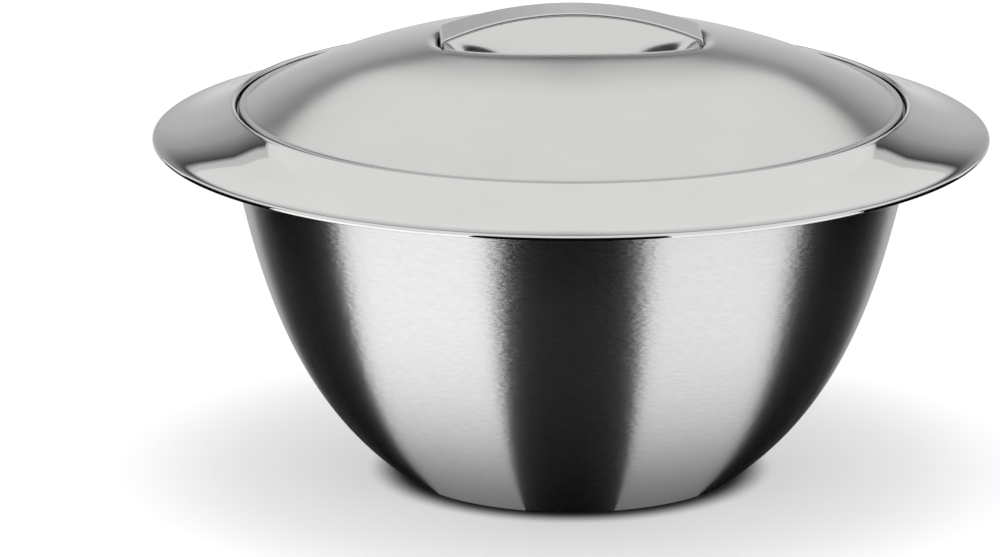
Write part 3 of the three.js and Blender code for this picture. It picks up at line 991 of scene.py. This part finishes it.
def back_line(angle):
    """A grey screen that darkens upward to a line, over which it is pale"""
    behind = HALF_TURN - abs(angle)
    dark, edge, top = between_stops(BACK_HEIGHTS, behind)
    low = between(*BACK_LOW, min(1, behind / BACK_SOFT_TURN))
    crisp = min(1, max(0, behind - BACK_SOFT_TURN) / BACK_CRISP_TURN)
    widening = min(1, max(0, behind - BACK_STRIP_TURN) / BACK_STRIP_TURN)
    strip = BACK_STRIP * between(1, between(BACK_STRIP_LEAST, 1, widening), crisp)
    last = len(CARD_REACHES) - 1
    line = [(reach, 0, between(*BACK_FLOOR, i / last)) for i, reach in enumerate(CARD_REACHES)]
    rise = [(part * dark, level * low) for part, level in BACK_RISE]
    rise += [
        (dark, BACK_DARK),
        (edge, between(*BACK_EDGE, crisp)),
        (edge + strip, between(*BACK_STRIP_END, crisp)),
        (edge + BACK_STRIP_BLUR * strip, between(*BACK_ABOVE, crisp)),
        (top, PALE_LEVEL),
    ]
    return line + [(CARD_REACHES[last], height, level) for height, level in rise]


def reflection_card(name, start, end, line, finish, azimuth, lift):
    """A card that lies on the floor from the foot outward and may stand up, for mirror rays only"""
    mesh = bmesh.new()
    glow = mesh.verts.layers.float.new("glow")
    rows = []
    for i in range(CARD_STEPS + 1):
        angle = between(start, end, i / CARD_STEPS)
        row = []
        for reach, height, level in line(angle):
            turn = azimuth + math.radians(mirrored_turn(angle, reach))
            vert = mesh.verts.new((math.sin(turn) * reach, -math.cos(turn) * reach, lift + height))
            vert[glow] = level
            row.append(vert)
        rows.append(row)
    for near, far in zip(rows, rows[1:]):
        for j in range(len(near) - 1):
            mesh.faces.new((near[j], near[j + 1], far[j + 1], far[j]))
    card = placed(mesh, name, finish)
    card.visible_camera = False
    card.visible_diffuse = False
    card.visible_transmission = False
    card.visible_shadow = False


def card_finish():
    """A card as bright as its corners say"""
    finish, board = new_finish("reflection_card")
    level = board.add("Attribute", {"attribute_name": "glow"}).outputs["Fac"]
    glow = board.add("Emission", None, Strength=level)
    board.add("OutputMaterial", None, Surface=glow.outputs["Emission"])
    finish.cycles.emission_sampling = "NONE"
    return finish


class SALADBOWL_OT_studio(bpy.types.Operator):
    """Build the floor, the even surround, the cards that the steel mirrors and the camera"""
    bl_idname = "salad_bowl.studio"
    bl_label = "Studio"

    def execute(self, context):
        settings = context.scene.salad_bowl_studio
        self.add_floor(settings)
        self.add_surround(context, settings)
        self.add_overhead(context, settings)
        self.add_cards(settings)
        self.add_camera(context, settings)
        context.scene.view_settings.view_transform = "Standard"
        return {"FINISHED"}

    def add_floor(self, settings):
        mesh = bmesh.new()
        bmesh.ops.create_grid(mesh, x_segments=FLOOR_SEGMENTS, y_segments=FLOOR_SEGMENTS,
                              size=FLOOR_HALF_WIDTH)
        finish, board = new_finish("pale_paper")
        place = board.add("TexCoord").outputs["Object"]
        reach = board.add("VectorMath", {"operation": "LENGTH"}, Vector=place).outputs["Value"]
        near = settings.floor_lift_near
        # Painted shade pool: the floor gets less white lift near the bowl than away from it
        shade_pool_lift = board.ramp(reach, *FLOOR_SHADE_POOL, near, settings.floor_lift_far, "SMOOTHSTEP")
        # Painted contact shadow: close to the foot the floor's colour darkens and its white lift fades out
        clear = board.ramp(reach, *FOOT_SHADE, 0.0, 1.0, "SMOOTHSTEP")
        dark = [FOOT_SHADE_DEPTH * c for c in settings.floor_colour] + [1]
        tint = board.mixed(clear, dark, [*settings.floor_colour, 1])
        paper = board.add("BsdfDiffuse", None, Color=tint)
        level = board.math("MULTIPLY", shade_pool_lift, board.math("MULTIPLY", clear, board.seen()))
        lift = board.add("Emission", None, Strength=level)
        both = board.add("AddShader")
        board.feed(both.inputs[0], paper.outputs["BSDF"])
        board.feed(both.inputs[1], lift.outputs["Emission"])
        board.add("OutputMaterial", None, Surface=both.outputs["Shader"])
        finish.cycles.emission_sampling = "NONE"
        floor = placed(mesh, "floor", finish)

    def add_surround(self, context, settings):
        world = bpy.data.worlds.new("soft_surround")
        world.use_nodes = True
        board = NodeBoard(world.node_tree)
        level = board.math("MAXIMUM", board.seen(), settings.surround)
        light = board.add("Background", None, Color=(1, 1, 1, 1), Strength=level)
        board.add("OutputWorld", None, Surface=light.outputs["Background"])
        context.scene.world = world

    def add_overhead(self, context, settings):
        data = bpy.data.lights.new("overhead", "AREA")
        data.energy = settings.overhead_power
        data.size = settings.overhead_size
        lamp = bpy.data.objects.new("overhead", data)
        context.scene.collection.objects.link(lamp)
        lamp.location = (0, 0, settings.overhead_height)
        lamp.visible_glossy = False

    def add_cards(self, settings):
        turn = settings.camera_azimuth
        finish = card_finish()
        for mark, side, strength, foot_end in FOOT_CARDS:
            spans = (
                ("card_foot_", FRONT_TURN, foot_end, lambda angle: foot_line(strength), CARD_LIFT),
                ("card_side_", foot_end, BACK_TURN, lambda angle: dark_line(SIDE_HEIGHT), CARD_LIFT),
                ("card_edge_", BACK_TURN, EDGE_TURN, lambda angle: dark_floor(), 2 * CARD_LIFT),
                ("card_back_", BACK_TURN, HALF_TURN, back_line, CARD_LIFT),
            )
            for name, start, end, line, lift in spans:
                reflection_card(name + mark, side * start, side * end, line, finish, turn, lift)
        reflection_card("card_front", -FRONT_TURN, FRONT_TURN, lambda angle: dark_line(FRONT_HEIGHT),
                        finish, turn, CARD_LIFT)

    def add_camera(self, context, settings):
        a = settings.camera_azimuth
        e = settings.camera_elevation
        back = Vector((math.sin(a) * math.cos(e), -math.cos(a) * math.cos(e), math.sin(e)))
        right = Vector((math.cos(a), math.sin(a), 0))
        up = back.cross(right)
        rim_centre = Vector((0, 0, context.scene.salad_bowl.rim_height))
        pixel = settings.camera_distance * SENSOR_WIDTH / settings.lens / PICTURE_SIZE[0]
        aside = (PICTURE_SIZE[0] / 2 - RIM_CENTRE_PIXEL[0]) * pixel
        below = (PICTURE_SIZE[1] / 2 - RIM_CENTRE_PIXEL[1]) * pixel
        data = bpy.data.cameras.new("camera")
        data.sensor_width = SENSOR_WIDTH
        data.lens = settings.lens
        data.clip_end = FAR_CLIP
        camera = bpy.data.objects.new("camera", data)
        context.scene.collection.objects.link(camera)
        camera.location = rim_centre + back * settings.camera_distance
        aim = rim_centre + right * aside - up * below
        camera.rotation_mode = "QUATERNION"
        camera.rotation_quaternion = (aim - camera.location).to_track_quat("-Z", "Y")
        context.scene.camera = camera


class SALADBOWL_PT_panel(bpy.types.Panel):
    """List the bowl's pieces in the sidebar"""
    bl_idname = "SALADBOWL_PT_panel"
    bl_label = "Insulated Salad Bowl"
    bl_space_type = "VIEW_3D"
    bl_region_type = "UI"
    bl_category = "Salad Bowl"

    def draw(self, context):
        column = self.layout.column()
        for operator in OPERATORS:
            column.operator(operator.bl_idname)


OPERATORS = (
    SALADBOWL_OT_inner_bowl,
    SALADBOWL_OT_outer_shell,
    SALADBOWL_OT_base,
    SALADBOWL_OT_lid_cover,
    SALADBOWL_OT_lid_liner,
    SALADBOWL_OT_handle_strap,
    SALADBOWL_OT_studio,
)
SETTINGS = {
    "salad_bowl": BowlSizes,
    "salad_bowl_lid": LidSizes,
    "salad_bowl_steel": SteelFinishes,
    "salad_bowl_studio": StudioSettings,
}


def register():
    for kind in (*SETTINGS.values(), *OPERATORS, SALADBOWL_PT_panel):
        bpy.utils.register_class(kind)
    for name, kind in SETTINGS.items():
        setattr(bpy.types.Scene, name, PointerProperty(type=kind))


def unregister():
    for name in SETTINGS:
        delattr(bpy.types.Scene, name)
    for kind in reversed((*SETTINGS.values(), *OPERATORS, SALADBOWL_PT_panel)):
        bpy.utils.unregister_class(kind)


def main():
    register()
    bpy.ops.salad_bowl.studio()
    bpy.ops.salad_bowl.inner_bowl()
    bpy.ops.salad_bowl.outer_shell()
    bpy.ops.salad_bowl.base()
    bpy.ops.salad_bowl.lid_cover()
    bpy.ops.salad_bowl.lid_liner()
    bpy.ops.salad_bowl.handle_strap()


if __name__ == "__main__":
    main()
